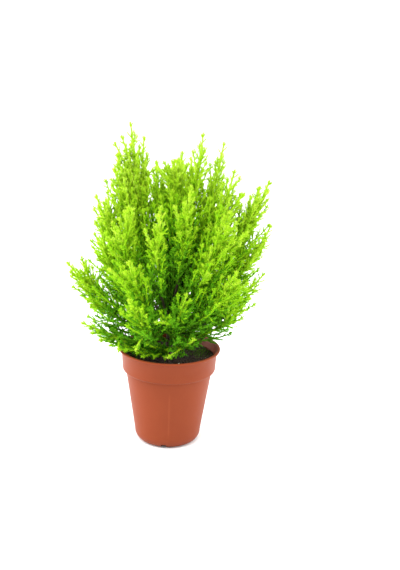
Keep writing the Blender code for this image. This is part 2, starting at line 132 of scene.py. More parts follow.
def limbBend(footHeight, tip):
    end = placeOf(tip)
    start = trunkCentre(footHeight * mm)
    flat = Vector((end.x - start.x, end.y - start.y, 0))
    across = Vector((-flat.y, flat.x, 0)).normalized()
    rise = Vector((0, 0, end.z - start.z))
    middle = start + flat * limbOutShare + rise * limbUpShare + across * tip[3] * mm
    return start, middle, end


def forkBend(coarse, tip):
    # A second shoot leaves the first at its third or fourth bend, whichever suits its height.
    end = placeOf(tip)
    root = 4 if end.z - coarse[4].z > forkRise * (coarse[-1].z - coarse[4].z) else 3
    along = (coarse[root + 1] - coarse[root - 1]).normalized()
    middle = coarse[root] + along * (end - coarse[root]).length * forkLeaving
    return coarse[root], middle, end


def backMasses():
    rng = random.Random(backSeed)
    found = []
    for name, count, first, last, foot, bare, reach, height in backTiers:
        for index in range(count):
            bearing = first + (last - first) * index / (count - 1)
            bearing += rng.uniform(-3, 3)
            tip = (bearing, reach + rng.uniform(-6, 6), height + rng.uniform(-12, 12), 0)
            turn = backSpread if index % 2 else -backSpread
            level = foot + (backStagger if index % 2 else 0)
            shorter = tip[1] * rng.uniform(0.85, 0.95)
            second = (bearing + turn, shorter, tip[2] - rng.uniform(18, 30), 0)
            found.append((f"{name}_{index + 1}", level, bare, [tip, second]))
    return found


# Shoots of the crown, from the leading ones to the finest
leader = {
    "steps": 26,
    "firstSpray": 6 * mm,
    "spacing": 4.6 * mm,
    "doublesIn": 400 * mm,
    "longestSpray": 20 * mm,
    "firstPlume": 26 * mm,
    "plumeSpacing": 6.0 * mm,
    "plumeSizes": (0.75, 1.1),
    "inset": 6 * mm,
    "clearOfTrunk": 5 * mm,
    "radius": 1.2 * mm,
    "forkShare": 0.75,
    "taper": 0.8,
    "tipRadius": 0.35 * mm,
    "stemTone": 0.4,
    "leafRadius": 1.2 * mm,
    "leafSize": 1.3,
    "leafTone": 0.2,
    "leafyLength": 70 * mm,
    "tuftTone": 0.8,
}
plume = {
    "shortest": 6 * mm,
    "growth": 0.64,
    "longest": 78 * mm,
    "opening": 27,
    "openingSpread": 6,
    "turnUp": 0.7,
    "lift": 0.70,
    "steps": 7,
    "fewest": 3,
    "radius": 1.0 * mm,
    "tipRadius": 0.75 * mm,
    "leafSize": 0.96,
    "firstSpray": 7 * mm,
    "spacing": 4.6 * mm,
    "longestSpray": 12 * mm,
    "sprayGrowth": 0.36,
    "inset": 2 * mm,
}
trunkPlume = {
    "first": 122 * mm,
    "last": 250 * mm,
    "spacing": 2.1 * mm,
    "length": 75 * mm,
    "sizes": (0.75, 1.15),
    "lowShare": 0.5,
    "lowHeight": 40 * mm,
    "distance": 30 * mm,
    # tones of painted shade for these shoots in the crown's heart
    "shade": 0.7,
}
fringe = {
    "foot": 112 * mm,
    "bare": 8 * mm,
    "fullness": 0.42,
    # tones of painted shade for the low shoots under the crown
    "shade": 1.5,
    "tips": [
        (-166, 73, 122, 0), (-155, 66, 121, 0), (-95, 30, 122, 0), (-112, 28, 126, 0),
        (-98, 38, 115, 0), (-112, 47, 118, 0), (-124, 55, 119, 0), (-137, 52, 119, 0),
        (-148, 61, 121, 0), (-160, 57, 122, 0), (-172, 63, 126, 0), (-122, 50, 134, 8),
        (-70, 30, 124, 0),
    ],
}
spray = {
    "shortest": 2 * mm,
    "growth": 0.54,
    "longest": 22 * mm,
    "sizes": (0.7, 1.12),
    "opening": 47,
    "openingSpread": 7,
    "steps": 3,
    "straightUnder": 11 * mm,
    "turnUp": 0.40,
    "lift": 0.22,
    "radius": 0.85 * mm,
    "tipRadius": 0.60 * mm,
    "leafSize": 0.92,
    "inset": 1.5 * mm,
}
tuft = {"count": 3, "at": 4.5 * mm, "length": 4.2 * mm, "brighter": 0.2}
sprig = {
    "firstAt": 8.5 * mm,
    "spacing": 5.0 * mm,
    "shortest": 2.2 * mm,
    "growth": 0.40,
    "longest": 12 * mm,
    "sizes": (0.75, 1.15),
    "opening": 40,
    "openingSpread": 8,
    "lift": 0.10,
    "radius": 0.62 * mm,
    "taper": 0.8,
    "leafSize": 0.80,
    "tipTone": -0.5,
    "rootTone": 0.9,
    "toneSpread": 0.4,
}
goldenTurn = 137.5
spacingSpread = (0.8, 1.2)
needle = {
    "step": 0.54 * mm,
    "innerStep": 0.72 * mm,
    "innerTone": 2.8,
    "length": 3.2 * mm,
    "lengths": (0.8, 1.12),
    "shortShare": 0.85,
    "halfWidth": 0.50 * mm,
    "opening": 44,
    "tipOpening": 36,
    "openingSpread": 7,
    "turnSpread": 12,
}

# Greens, from the brightest tips to the shaded heart of the crown; the darker ones are partly the
# greener inner growth and partly painted shade
greens = [
    ("tip", (0.57, 0.80, 0.055)),
    ("lime", (0.45, 0.70, 0.024)),
    ("leaf", (0.31, 0.62, 0.010)),
    ("grass", (0.175, 0.52, 0.008)),
    ("shade", (0.090, 0.38, 0.006)),
    ("heartShade", (0.025, 0.17, 0.003)),
]

# The crown's reach at a few heights, to tell its lit outside from its dark heart
crownHeights = [0.110, 0.145, 0.200, 0.260, 0.300, 0.330, 0.360, 0.385]
crownReaches = [0.070, 0.100, 0.112, 0.108, 0.096, 0.080, 0.062, 0.050]


def crownReach(height):
    return float(np.interp(height, crownHeights, crownReaches))


class Shade:
    # A shader socket that takes arithmetic, with one way to add any other node.
    def __init__(self, tree, socket=None):
        self.tree = tree
        self.socket = socket

    def add(self, kind, wanted, inputs=None, **choices):
        made = self.tree.nodes.new(kind)
        for key, value in choices.items():
            setattr(made, key, value)
        for key, value in (inputs or {}).items():
            if isinstance(value, Shade):
                self.tree.links.new(value.socket, made.inputs[key])
            else:
                made.inputs[key].default_value = value
        return Shade(self.tree, made.outputs[wanted])

    def maths(self, operation, other):
        return self.add("ShaderNodeMath", 0, {0: self, 1: other}, operation=operation)

    def mathsFrom(self, operation, other):
        return self.add("ShaderNodeMath", 0, {0: other, 1: self}, operation=operation)

    def axis(self, name):
        return self.add("ShaderNodeSeparateXYZ", name, {0: self})

    def __add__(self, other):
        return self.maths("ADD", other)

    def __radd__(self, other):
        return self.mathsFrom("ADD", other)

    def __sub__(self, other):
        return self.maths("SUBTRACT", other)

    def __rsub__(self, other):
        return self.mathsFrom("SUBTRACT", other)

    def __mul__(self, other):
        return self.maths("MULTIPLY", other)

    def __rmul__(self, other):
        return self.mathsFrom("MULTIPLY", other)

    def __truediv__(self, other):
        return self.maths("DIVIDE", other)


def startMaterial(name, color, roughness):
    material = bpy.data.materials.new(name)
    material.use_nodes = True
    surface = material.node_tree.nodes["Principled BSDF"]
    surface.inputs["Base Color"].default_value = (*color, 1)
    surface.inputs["Roughness"].default_value = roughness
    return material, surface, Shade(material.node_tree).add("ShaderNodeTexCoord", "Object")


def feed(surface, name, value):
    value.tree.links.new(value.socket, surface.inputs[name])


def blendColors(share, first, second):
    inputs = {0: share, 6: (*first, 1), 7: (*second, 1)}
    return share.add("ShaderNodeMix", 2, inputs, data_type="RGBA")


def noiseAt(place, scale, detail):
    return place.add("ShaderNodeTexNoise", 0, {"Vector": place, "Scale": scale, "Detail": detail})


def bumpBy(surface, height, distance, strength):
    inputs = {"Height": height, "Distance": distance, "Strength": strength}
    feed(surface, "Normal", height.add("ShaderNodeBump", 0, inputs))


# A faint pale line up the front of the pot, left by its mould; its paleness is a painted highlight
# where the seam's ridge catches the light
seam = {
    "across": 1.5 * mm,
    "halfWidth": 1.4 * mm,
    "middle": 45 * mm,
    "halfLength": 33 * mm,
    "fadeOver": 3,
    "strength": 0.35,
    "color": (0.28, 0.064, 0.022),
}
potFinish = {
    "light": (0.222, 0.042, 0.0125),
    "dark": (0.178, 0.032, 0.0095),
    "patchScale": 22,
    "speckScale": 900,
    "roughness": 0.36,
    "specular": 0.12,
}


def potMaterial():
    light, dark, seamHighlight = potFinish["light"], potFinish["dark"], seam["color"]
    material, surface, place = startMaterial("pot_plastic", light, 0.42)
    patches = noiseAt(place, potFinish["patchScale"], 2)
    specks = noiseAt(place, potFinish["speckScale"], 2)
    mottled = blendColors(patches * 0.9 + specks * 0.2 - 0.1, light, dark)
    # The seam's painted highlight: pale on the front side only, near the line and fading at its ends
    front = place.axis("Y").maths("LESS_THAN", 0)
    beside = (place.axis("X") - seam["across"]).maths("ABSOLUTE", 0)
    line = (1 - beside / seam["halfWidth"]).maths("MAXIMUM", 0)
    along = ((place.axis("Z") - seam["middle"]) / seam["halfLength"]).maths("ABSOLUTE", 0)
    ends = ((1 - along).maths("MAXIMUM", 0) * seam["fadeOver"]).maths("MINIMUM", 1)
    mark = line * front * ends * seam["strength"]
    whole = mark.add("ShaderNodeMix", 2, {0: mark, 6: mottled, 7: (*seamHighlight, 1)}, data_type="RGBA")
    feed(surface, "Base Color", whole)
    feed(surface, "Roughness", potFinish["roughness"] + patches * 0.14 + specks * 0.06)
    bumpBy(surface, specks, 0.05 * mm, 0.5)
    surface.inputs["Specular IOR Level"].default_value = potFinish["specular"]
    return material


barkFinish = {
    "light": (0.105, 0.070, 0.034),
    "dark": (0.024, 0.018, 0.009),
    "drawnOut": (1, 1, 0.16),
    "ridgeScale": 900,
    "patchScale": 160,
    "relief": 0.35 * mm,
}


def barkMaterial():
    light, dark, drawnOut = barkFinish["light"], barkFinish["dark"], barkFinish["drawnOut"]
    material, surface, place = startMaterial("bark", light, 0.82)
    drawn = place.add("ShaderNodeVectorMath", 0, {0: place, 1: drawnOut}, operation="MULTIPLY")
    ridges = noiseAt(drawn, barkFinish["ridgeScale"], 4)
    patches = noiseAt(place, barkFinish["patchScale"], 2)
    share = ridges * 0.75 + patches * 0.35 - 0.05
    feed(surface, "Base Color", blendColors(share, dark, light))
    bumpBy(surface, ridges, barkFinish["relief"], 0.9)
    return material


def addObject(name, data):
    item = bpy.data.objects.new(name, data)
    bpy.context.scene.collection.objects.link(item)
    return item


def finishPiece(name, mesh, material, nodes=(), smooth=False):
    if smooth:
        mesh.shade_smooth()
    mesh.materials.append(material)
    piece = addObject(name, mesh)
    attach(piece, "root")
    if nodes:
        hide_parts(*nodes)
    return piece


def meshFrom(edit, name):
    mesh = bpy.data.meshes.new(name)
    edit.to_mesh(mesh)
    edit.free()
    return mesh


def spunFrom(profile, segments):
    # A full turn of a profile of radius and height pairs.
    edit = bmesh.new()
    corners = [edit.verts.new((radius, 0, height)) for radius, height in profile]
    edges = [edit.edges.new(pair) for pair in zip(corners, corners[1:])]
    bmesh.ops.spin(
        edit, geom=corners + edges, cent=(0, 0, 0), axis=(0, 0, 1),
        angle=2 * math.pi, steps=segments, use_merge=True, use_duplicate=False,
    )
    bmesh.ops.remove_doubles(edit, verts=edit.verts, dist=0.01 * mm)
    return edit


def baseShape(build, **settings):
    # Corners and triangles of a small shape that is copied many times.
    edit = bmesh.new()
    build(edit, **settings)
    bmesh.ops.remove_doubles(edit, verts=edit.verts, dist=1e-6)
    bmesh.ops.triangulate(edit, faces=edit.faces)
    bmesh.ops.recalc_face_normals(edit, faces=edit.faces)
    edit.verts.index_update()
    corners = np.array([list(vert.co) for vert in edit.verts])
    triangles = np.array([[vert.index for vert in face.verts] for face in edit.faces])
    edit.free()
    return corners, triangles


cone = {"segments": 3, "radius1": 1, "depth": 1, "cap_ends": False}
cone["matrix"] = Matrix.Translation((0, 0, 0.5))  # stands it on its foot
needleShape = baseShape(bmesh.ops.create_cone, radius2=0, **cone)
twigShape = baseShape(bmesh.ops.create_cone, radius2=1, **cone)
crumbShape = baseShape(bmesh.ops.create_icosphere, subdivisions=1, radius=1)


def copiesOf(shape, places, axes, sizes):
    # Each copy's corners, stretched by sizes along its own three axes.
    return places[:, None, :] + np.einsum("cvi,cij->cvj", shape[0][None] * sizes, axes)


def joinedMesh(name, shape, points):
    corners = points.reshape(-1, 3)
    shift = len(shape[0]) * np.arange(len(points))
    triangles = (shift[:, None, None] + shape[1][None]).reshape(-1, 3)
    mesh = bpy.data.meshes.new(name)
    mesh.vertices.add(len(corners))
    mesh.vertices.foreach_set("co", corners.astype(np.float32).ravel())
    mesh.loops.add(3 * len(triangles))
    mesh.loops.foreach_set("vertex_index", triangles.astype(np.int32).ravel())
    mesh.polygons.add(len(triangles))
    mesh.polygons.foreach_set("loop_start", np.arange(0, 3 * len(triangles), 3, dtype=np.int32))
    mesh.update(calc_edges=True)
    return mesh


# How many tones a shoot loses in the heart of the crown, far from its tip, at its root and low down:
# partly the greener older growth, and partly painted shade where the crown shades its heart and base
toning = {
    "heartShade": 4.4,
    "heartShadePower": 1.2,
    "heartShadeFade": 0.88,
    "oldAndShaded": 1.5,
    "oldAndShadedAt": 110 * mm,
    "oldAndShadedFade": 0.6,
    "root": 0.9,
    "low": 1.05,
    "lowFrom": 120 * mm,
    "lowOver": 200 * mm,
    "lowest": 1.5,
    "lowestUnder": 170 * mm,
    "lowestOver": 60 * mm,
    "lowestPast": 25 * mm,
    "spread": 0.7,
}
shadedTwig = {"fromTone": 3.0, "overTones": 1.5, "stouter": 0.5}

# What a row of the table of stretches holds after its two ends
markAt, totalAt, rootRadiusAt, tipRadiusAt, toneAt, leafSizeAt, isStemAt, turnAt = range(6, 14)


def lengthOf(points):
    return sum((b - a).length for a, b in zip(points, points[1:]))


def within(value):
    return max(0, min(1, value))


class Segments:
    # Straight stretches of shoots, gathered for the needles and the twigs that are made of them.
    def __init__(self):
        self.rows = []
        self.shade = 0

    def add(self, points, radii, tone, leafSize, isStem, turn):
        # The shade set on the gathering is painted shade, darker greens for shoots in the crown's
        # shadow
        tone += self.shade
        if leafSize:
            shaded = within((tone - shadedTwig["fromTone"]) / shadedTwig["overTones"])
            radii = [radius * (1 + shadedTwig["stouter"] * shaded) for radius in radii]
        total = lengthOf(points)
        mark = 0
        for index, (a, b) in enumerate(zip(points, points[1:])):
            length = (b - a).length
            # Darker towards the shoot's root: partly the greener older growth, partly painted shade
            darkerToRoot = tone + toning["root"] * (1 - (mark + length) / total) if leafSize else tone
            row = (*a, *b, mark, total, radii[index], radii[index + 1], darkerToRoot, leafSize, isStem, turn)
            self.rows.append(row)
            mark += length


def crosswise(along):
    # Two directions square to each given one.
    helper = np.where(np.abs(along[:, 2:3]) > 0.9, [[1.0, 0, 0]], [[0, 0, 1.0]])
    side = np.cross(along, helper)
    side /= np.linalg.norm(side, axis=1, keepdims=True)
    return side, np.cross(along, side)


def needleArrays(table, rng):
    # Slender three-sided needles in a spiral round every shoot that bears them, their open roots
    # inside the twig, and wider apart in the dark heart of the crown.
    table = table[table[:, leafSizeAt] > 0]
    leafSize = table[:, leafSizeAt]
    steps = np.where(table[:, toneAt] < needle["innerTone"], needle["step"], needle["innerStep"])
    start, end = table[:, 0:3], table[:, 3:6]
    gap = end - start
    length = np.linalg.norm(gap, axis=1)
    along = gap / length[:, None]
    side, other = crosswise(along)
    first = np.ceil(table[:, markAt] / steps)
    last = np.ceil((table[:, markAt] + length) / steps)
    counts = (last - first).astype(int)
    row = np.repeat(np.arange(len(table)), counts)
    inRow = np.arange(len(row)) - np.repeat(np.cumsum(counts) - counts, counts)
    number = first[row] + inRow
    mark = number * steps[row]
    share = np.clip(mark / table[row, totalAt], 0, 1)
    root = start[row] + along[row] * (mark - table[row, markAt])[:, None]
    strayed = rng.uniform(-needle["turnSpread"], needle["turnSpread"], len(row))
    turn = np.radians(table[row, turnAt] + number * goldenTurn + strayed)
    outward = side[row] * np.cos(turn)[:, None] + other[row] * np.sin(turn)[:, None]
    opening = needle["opening"] + (needle["tipOpening"] - needle["opening"]) * share**3
    strayed = rng.uniform(-needle["openingSpread"], needle["openingSpread"], len(row))
    opening = np.radians(opening + strayed)
    heading = along[row] * np.cos(opening)[:, None] + outward * np.sin(opening)[:, None]
    size = needle["length"] * leafSize[row] * rng.uniform(*needle["lengths"], len(row))
    size *= 1 - (1 - needle["shortShare"]) * share**4
    width = needle["halfWidth"] * (0.6 + 0.4 * leafSize[row])
    axes = np.stack([*crosswise(heading), heading], axis=1)
    sizes = np.stack([width, width, size], axis=1)[:, None, :]
    return copiesOf(needleShape, root, axes, sizes), table[row, toneAt]


def twigArrays(table):
    # Tapered twigs with open ends that lie inside the next stretch or among the needles.
    gap = table[:, 3:6] - table[:, 0:3]
    length = np.linalg.norm(gap, axis=1, keepdims=True)
    along = gap / length
    axes = np.stack([*crosswise(along), along], axis=1)
    upTo = twigShape[0][None, :, 2]
    rootRadius, tipRadius = table[:, rootRadiusAt, None], table[:, tipRadiusAt, None]
    radius = rootRadius * (1 - upTo) + tipRadius * upTo
    sizes = np.stack([radius, radius, np.broadcast_to(length, radius.shape)], axis=2)
    return copiesOf(twigShape, table[:, 0:3], axes, sizes)


def pointOn(points, mark):
    # The point at a distance along a line, and the line's direction there.
    for a, b in zip(points, points[1:]):
        length = (b - a).length
        if mark <= length or b is points[-1]:
            return a.lerp(b, min(mark / length, 1)), (b - a).normalized()
        mark -= length


potHeight = 115 * mm
rimRadius = 60 * mm
soilTop = 103 * mm
shootRoom = {"above": 1.5 * mm, "reach": 53 * mm}


def clearOfPot(point):
    if point.z > potHeight + shootRoom["above"]:
        return True
    overSoil = math.hypot(point.x, point.y) < shootRoom["reach"]
    return overSoil and point.z > soilTop + shootRoom["above"]


def outwardOf(along, turn):
    side = along.orthogonal().normalized()
    angle = math.radians(turn)
    return side * math.cos(angle) + along.cross(side) * math.sin(angle)


def toneOf(place, distance, rng):
    depth = max(0, 1 - math.hypot(place.x, place.y) / crownReach(place.z))
    height = within((place.z - toning["lowFrom"]) / toning["lowOver"])
    lowest = max(0, (toning["lowestUnder"] - place.z) / toning["lowestOver"])
    lowest *= min(1, distance / toning["lowestPast"])
    # Painted shade: the greens darken in the crown's heart, low down and far from the tip, the last
    # partly the greener older growth
    tone = toning["heartShade"] * depth ** toning["heartShadePower"] * (1 - toning["heartShadeFade"] * height)
    tone += toning["oldAndShaded"] * min(distance / toning["oldAndShadedAt"], 1) * (1 - toning["oldAndShadedFade"] * height)
    tone += toning["low"] * (1 - height) + toning["lowest"] * lowest
    return tone + rng.uniform(-toning["spread"], toning["spread"])


def placesDown(points, mark, last, spacing, turn, rng, doublesIn=math.inf):
    # Places down a shoot from its tip, each a golden turn on from the one before.
    total = lengthOf(points)
    while mark < last:
        place, along = pointOn(points, total - mark)
        yield mark, turn, place, along, outwardOf(along, turn)
        mark += spacing * rng.uniform(*spacingSpread) * (1 + mark / doublesIn)
        turn += goldenTurn


def openingOf(shoot, rng):
    spread = shoot["openingSpread"]
    return math.radians(shoot["opening"] + rng.uniform(-spread, spread))


def turnedUp(shoot, root, along, outward, length, steps, fewest, rng):
    # A shoot that leaves its bearer at its opening angle, turns up on the way and ends short of
    # the pot, as far as its fewest steps allow.
    opening = openingOf(shoot, rng)
    first = along * math.cos(opening) + outward * math.sin(opening)
    second = (first + along * shoot["turnUp"] + Vector((0, 0, shoot["lift"]))).normalized()
    middle = root + first * length * 0.5
    points = bend(root, middle, middle + second * length * 0.5, steps)
    while not all(clearOfPot(point) for point in points[1:]) and len(points) > fewest:
        points.pop()
    return points


def growSprig(segments, root, along, outward, length, tone, rng, turn):
    opening = openingOf(sprig, rng)
    heading = along * math.cos(opening) + outward * math.sin(opening)
    heading = (heading + Vector((0, 0, sprig["lift"]))).normalized()
    tip = root + heading * length
    if clearOfPot(tip):
        radii = [sprig["radius"], sprig["radius"] * sprig["taper"]]
        segments.add([root, tip], radii, tone, sprig["leafSize"], 0, turn)


def growTuft(segments, points, tone, rng, turn):
    # Short sprigs close under the tip, which make it blunt.
    root, along = pointOn(points, lengthOf(points) - tuft["at"])
    tone -= tuft["brighter"]
    for index in range(tuft["count"]):
        outward = outwardOf(along, turn + 360 * index / tuft["count"])
        growSprig(segments, root, along, outward, tuft["length"], tone, rng, turn)


def growSpray(segments, root, along, outward, length, distance, rng):
    steps = spray["steps"] if length > spray["straightUnder"] else 2
    points = turnedUp(spray, root, along, outward, length, steps, 2, rng)
    total = lengthOf(points)
    if total < spray["shortest"] or not clearOfPot(points[-1]):
        return
    tone = toneOf(points[-1], distance, rng)
    rootRadius = spray["radius"] * (0.5 + 0.5 * length / spray["longest"])
    radii = np.linspace(rootRadius, spray["tipRadius"], len(points))
    segments.add(points, list(radii), tone, spray["leafSize"], 0, rng.uniform(0, 360))
    last, turn = total - spray["inset"], rng.uniform(0, 360)
    places = placesDown(points, sprig["firstAt"], last, sprig["spacing"], turn, rng)
    for mark, turn, place, along, outward in places:
        size = min(sprig["shortest"] + sprig["growth"] * mark, sprig["longest"])
        size *= rng.uniform(*sprig["sizes"])
        own = tone + sprig["tipTone"] + sprig["rootTone"] * mark / total
        own += rng.uniform(-sprig["toneSpread"], sprig["toneSpread"])
        growSprig(segments, place, along, outward, size, own, rng, turn * 3)


def growPlume(segments, root, along, outward, length, distance, rng):
    points = turnedUp(plume, root, along, outward, length, plume["steps"], plume["fewest"], rng)
    if len(points) <= plume["fewest"]:
        return
    total = lengthOf(points)
    radii = np.linspace(plume["radius"], plume["tipRadius"], len(points))
    tone = toneOf(points[-1], distance, rng)
    segments.add(points, list(radii), tone, plume["leafSize"], 0, rng.uniform(0, 360))
    last, turn = total - plume["inset"], rng.uniform(0, 360)
    growTuft(segments, points, tone, rng, turn)
    places = placesDown(points, plume["firstSpray"], last, plume["spacing"], turn, rng)
    for mark, _, place, along, outward in places:
        size = min(spray["shortest"] + plume["sprayGrowth"] * mark, plume["longestSpray"])
        size *= rng.uniform(*spray["sizes"])
        growSpray(segments, place, along, outward, size, distance + mark, rng)


# Limbs whose side shoots stay short, and forks too fine for the solids
slender = {
    "front_left_leader": 0.6,
    "front_right_leader": 0.6,
    "front_right_middle": 0.75,
    "left_leader": 0.62,
    "right_leader": 0.75,
    "right_second": 0.75,
    "right_outer": 0.85,
    "right_middle": 0.8,
    "right_low": 0.85,
    "left_outer": 0.9,
    "left_shoulder": 0.85,
    "left_middle": 0.85,
    "left_front_low": 0.85,
}
fineForks = {
    "left_leader": [(180, 68, 357, 0), (180, 60, 365, 0), (-164, 66, 338, 0), (174, 31, 346, 0)],
    "left_shoulder": [(-163, 82, 294, 0), (172, 76, 300, 0)],
    "upper_left": [(-166, 60, 330, 0)],
    "right_outer": [(-4, 98, 312, 0)],
    "right_middle": [(-4, 106, 250, 0)],
    "left_outer": [(-177, 115, 204, 0), (177, 107, 200, 0)],
    "left_front_low": [(-174, 93, 134, 0), (-168, 84, 127, 0), (178, 84, 130, 0)],
    "centre": [(-75, 14, 341, 0), (-150, 14, 338, 0)],
}


def growLeader(segments, points, bareLength, number, fullness, rng):
    total = lengthOf(points)
    shares = np.linspace(0, 1, len(points))
    width = leader["radius"] * (leader["forkShare"] if number else 1)
    loss = width - leader["tipRadius"]
    radii = [width - loss * share ** leader["taper"] for share in shares]
    segments.add(points, radii, leader["stemTone"], 0, 1, 0)
    leafyFrom = total - leader["leafyLength"]
    leafy = [point for point, share in zip(points, shares) if share * total > leafyFrom]
    radii = [leader["leafRadius"] * min(1, 0.5 + fullness * 0.5)] * len(leafy)
    segments.add(leafy, radii, leader["leafTone"], leader["leafSize"], 0, rng.uniform(0, 360))
    last, turn = total - bareLength - leader["inset"], rng.uniform(0, 360)
    growTuft(segments, points, leader["tuftTone"], rng, turn)
    first, spacing, doublesIn = leader["firstSpray"], leader["spacing"], leader["doublesIn"]
    places = placesDown(points, first, last, spacing, turn, rng, doublesIn)
    for mark, turn, root, along, outward in places:
        length = min(spray["shortest"] + spray["growth"] * mark, leader["longestSpray"])
        length *= rng.uniform(*spray["sizes"]) * fullness**0.5
        growSpray(segments, root, along, outward, length, mark, rng)
    last = total - 0.5 * bareLength - leader["inset"]
    first, spacing, turn = leader["firstPlume"], leader["plumeSpacing"], turn + goldenTurn
    for mark, _, root, along, outward in placesDown(points, first, last, spacing, turn, rng):
        length = min(plume["shortest"] + plume["growth"] * mark, plume["longest"])
        length *= rng.uniform(*leader["plumeSizes"]) * fullness
        growPlume(segments, root, along, outward, length, mark, rng)


def growTrunkPlumes(segments):
    # Dark shoots that fill the heart of the crown; their darker greens are painted shade.
    segments.shade = trunkPlume["shade"]
    rng = random.Random("trunk shoots")
    height = trunkPlume["first"]
    turn = rng.uniform(0, 360)
    while height < trunkPlume["last"]:
        root = trunkCentre(height)
        along = (trunkCentre(height + mm) - root).normalized()
        share = min(1, (height - trunkPlume["first"]) / trunkPlume["lowHeight"])
        length = trunkPlume["length"] * rng.uniform(*trunkPlume["sizes"])
        length *= trunkPlume["lowShare"] + (1 - trunkPlume["lowShare"]) * share
        distance = 0.5 * (trunk["top"] - height) + trunkPlume["distance"]
        growPlume(segments, root, along, outwardOf(along, turn), length, distance, rng)
        height += trunkPlume["spacing"]
        turn += goldenTurn
    segments.shade = 0


def growFringe(segments):
    # Short low shoots that hang over the mix and the rim, in the shade of the crown, which is
    # painted into their greens.
    segments.shade = fringe["shade"]
    for number, tip in enumerate(fringe["tips"]):
        rng = random.Random(f"fringe {number}")
        start, middle, end = limbBend(fringe["foot"] / mm + number % 3, tip)
        points = bend(start, middle, end, leader["steps"])
        growLeader(segments, points, fringe["bare"], 1, fringe["fullness"], rng)
    segments.shade = 0


def limbOf(name, bare, curve, tips):
    # A limb with the fine bends for its shoots and the coarse ones that the solids have.
    return name, bare, bend(*curve, leader["steps"]), bend(*curve, limbSteps), tips


def readLimbs():
    limbs = []
    for name, foot, bare, tips in frontAndSides + backMasses():
        limbs.append(limbOf(name, bare, limbBend(foot, tips[0]), tips))
    start, end = trunkCentre(trunk["top"]), placeOf(centreTips[0])
    middle = start + Vector((0, 0, (end.z - start.z) * 0.5))
    limbs.append(limbOf("centre", 0, (start, middle, end), centreTips))
    return limbs


def growCrown():
    segments = Segments()
    for name, bare, fine, coarse, tips in readLimbs():
        rng = random.Random(f"{name} shoots")
        clear = leader["clearOfTrunk"] if name != "centre" else 0
        bareLength = bare * lengthOf(fine) + clear
        fullness = slender.get(name, 1.0)
        growLeader(segments, fine, bareLength, 0, fullness, rng)
        for number, tip in enumerate(tips[1:] + fineForks.get(name, [])):
            fork = bend(*forkBend(coarse, tip), leader["steps"])
            growLeader(segments, fork, 0, number + 1, fullness, rng)
    growTrunkPlumes(segments)
    growFringe(segments)
    return np.array(segments.rows)


foliage = {
    "seed": 5,
    "olderShare": 0.35,
    "olderColor": (0.80, 0.90, 1.2),
    "mostInPiece": 64000,
    "innerTone": 2.5,
    "freshRoughness": 0.5,
    "olderRoughness": 0.6,
    "twigRoughness": 0.65,
    "specular": 0.04,
}
otherNodes = ("pot", "soil", "trunk", "_bough")


def plantMaterial(name, color, roughness):
    # The soft, hardly shining surface of scale leaves; neighbours differ by their greens.
    material, surface, _ = startMaterial(name, color, roughness)
    surface.inputs["Specular IOR Level"].default_value = foliage["specular"]
    return material


def makeFoliage():
    table = growCrown()
    masses = [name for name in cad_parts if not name.endswith(otherNodes)]
    rng = np.random.default_rng(foliage["seed"])
    points, tones = needleArrays(table, rng)
    shades = np.clip(np.round(tones), 0, len(greens) - 1).astype(int)
    ages = rng.random(len(tones)) < foliage["olderShare"]
    count = 0
    for index, (name, color) in enumerate(greens):
        fresh = plantMaterial(f"needles_{name}", color, foliage["freshRoughness"])
        color = tuple(share * part for share, part in zip(foliage["olderColor"], color))
        older = plantMaterial(f"needles_{name}_older", color, foliage["olderRoughness"])
        chosen = np.flatnonzero(shades == index)
        pieces = max(1, math.ceil(len(chosen) / foliage["mostInPiece"]))
        for part, some in enumerate(np.array_split(chosen, pieces)):
            label = f"needles_{name}_{part + 1}"
            mesh = joinedMesh(label, needleShape, points[some])
            finishPiece(label, mesh, fresh, masses if count == 0 else ())
            mesh.materials.append(older)
            mesh.polygons.foreach_set("material_index", np.repeat(ages[some], 3).astype(np.int32))
            count += 1
    print("needles", len(points), "pieces", count, "by tone", np.bincount(shades))
    stems = table[:, isStemAt] > 0
    inner = table[:, toneAt] >= foliage["innerTone"]
    # Twigs among the darker greens take a darker copy of the twig green, a painted shade
    bands = [
        ("stems", (0.13, 0.30, 0.018), stems),
        ("twigs_outer", (0.30, 0.58, 0.008), ~stems & ~inner),
        ("twigs_inner_shaded", (0.10, 0.26, 0.008), ~stems & inner),
    ]
    for name, color, chosen in bands:
        points = twigArrays(table[chosen])
        material = plantMaterial(name, color, foliage["twigRoughness"])
        finishPiece(name, joinedMesh(name, twigShape, points), material)
        print(name, len(points), "stretches")


bough = {
    "radius": 1.9 * mm,
    "tipRadius": 0.5 * mm,
    "taper": 0.7,
    "overlap": 6 * mm,
    "rings": 34,
    "sides": 12,
    "relief": 0.12,
}
trunkBark = {"rings": 90, "sides": 20, "relief": 0.10, "sunk": 1 * mm}
barkGrain = {"across": 2.3, "along": 0.16, "finer": 2.7, "finerShare": 0.5}


def vertAbove(vert, fresh):
    others = [edge.other_vert(vert) for edge in vert.link_edges]
    return next(other for other in others if other in fresh)


